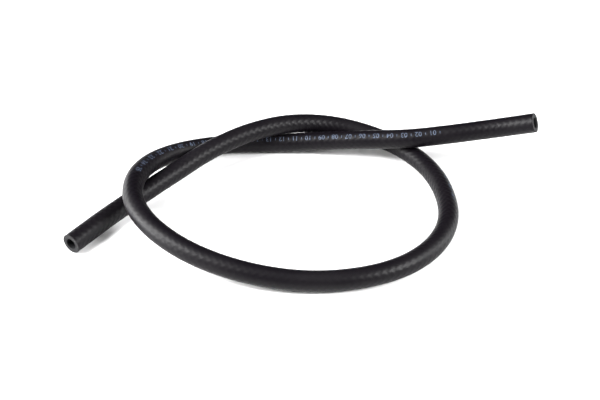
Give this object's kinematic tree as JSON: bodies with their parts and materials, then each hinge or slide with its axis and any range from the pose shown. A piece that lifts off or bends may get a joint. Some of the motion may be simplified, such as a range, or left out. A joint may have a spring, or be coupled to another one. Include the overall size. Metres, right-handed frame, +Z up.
{
  "type": "fuel hose",
  "caption": "Bare length of black textile-reinforced rubber fuel hose with square-cut open ends, lying in a loose overhand knot.",
  "frame": {"origin": "middle of the knotted hose's footprint, on the level surface that it lies on", "axes": "+X along the longest extent of the lying hose, from the cut end that lies flat towards the one that is sprung up; +Y to the side with both upper crossings; +Z up"},
  "size_m": [0.3169, 0.1794, 0.0489],
  "materials": {
    "black_rubber": "satin black rubber with the faint ribs of a textile braid under its skin"
  },
  "bodies": {
    "root": {"hose": "black_rubber"}
  },
  "joints": []
}
